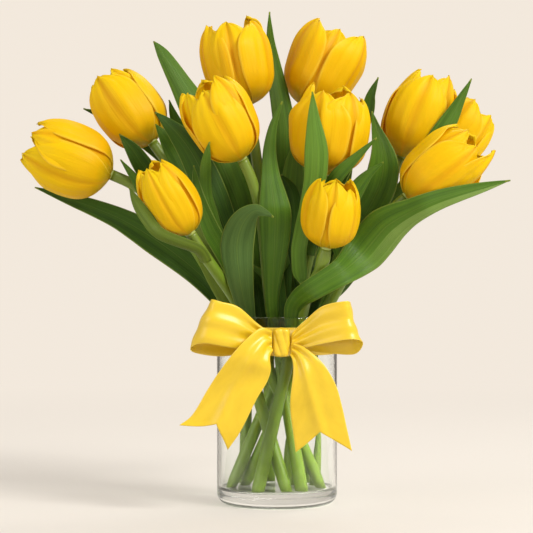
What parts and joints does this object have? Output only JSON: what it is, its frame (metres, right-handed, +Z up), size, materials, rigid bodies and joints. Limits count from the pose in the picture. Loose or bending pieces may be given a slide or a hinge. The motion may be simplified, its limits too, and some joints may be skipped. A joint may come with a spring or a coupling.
{
  "type": "bunch of tulips",
  "caption": "Bunch of cup-shaped tulips with long folded leaves, standing in a clear glass cylinder vase tied with a wide ribbon bow",
  "frame": {"origin": "centre of the vase's flat base, on the surface that it stands on", "axes": "+Z up; the bow faces -Y; +X to the right when the bow is in front"},
  "size_m": [0.3846, 0.2129, 0.3981],
  "materials": {
    "vase_glass": "clear, polished",
    "ribbon": "satin weave, soft sheen",
    "stem": "smooth plant skin",
    "leaf": "waxy plant skin with parallel veins",
    "petals": "silky petal skin"
  },
  "bodies": {
    "root": {"flower_01": "petals", "flower_02": "petals", "flower_03": "petals", "flower_04": "petals", "flower_05": "petals", "flower_06": "petals", "flower_07": "petals", "flower_08": "petals", "flower_09": "petals", "flower_10": "petals", "flower_11": "petals", "leaf_back_centre": "leaf", "leaf_back_left_low": "leaf", "leaf_back_right": "leaf", "leaf_back_right_low": "leaf", "leaf_back_tall": "leaf", "leaf_bract": "leaf", "leaf_centre": "leaf", "leaf_centre_dark": "leaf", "leaf_centre_pale": "leaf", "leaf_centre_right": "leaf", "leaf_far_left": "leaf", "leaf_far_right": "leaf", "leaf_front_curl": "leaf", "leaf_left_back": "leaf", "leaf_left_broad": "leaf", "leaf_left_dark": "leaf", "leaf_left_low": "leaf", "leaf_left_mid": "leaf", "leaf_left_olive": "leaf", "leaf_left_slim": "leaf", "leaf_left_small": "leaf", "leaf_left_tall": "leaf", "leaf_left_tip": "leaf", "leaf_right_back": "leaf", "leaf_right_broad": "leaf", "leaf_right_fold": "leaf", "leaf_right_low": "leaf", "leaf_right_narrow": "leaf", "leaf_right_sweep": "leaf", "leaf_tallest": "leaf", "ribbon_band": "ribbon", "ribbon_knot": "ribbon", "ribbon_left_loop": "ribbon", "ribbon_left_tail": "ribbon", "ribbon_right_loop": "ribbon", "ribbon_right_tail": "ribbon", "stem_01": "stem", "stem_02": "stem", "stem_03": "stem", "stem_04": "stem", "stem_05": "stem", "stem_06": "stem", "stem_07": "stem", "stem_08": "stem", "stem_09": "stem", "stem_10": "stem", "stem_11": "stem", "vase": "vase_glass"}
  },
  "joints": []
}
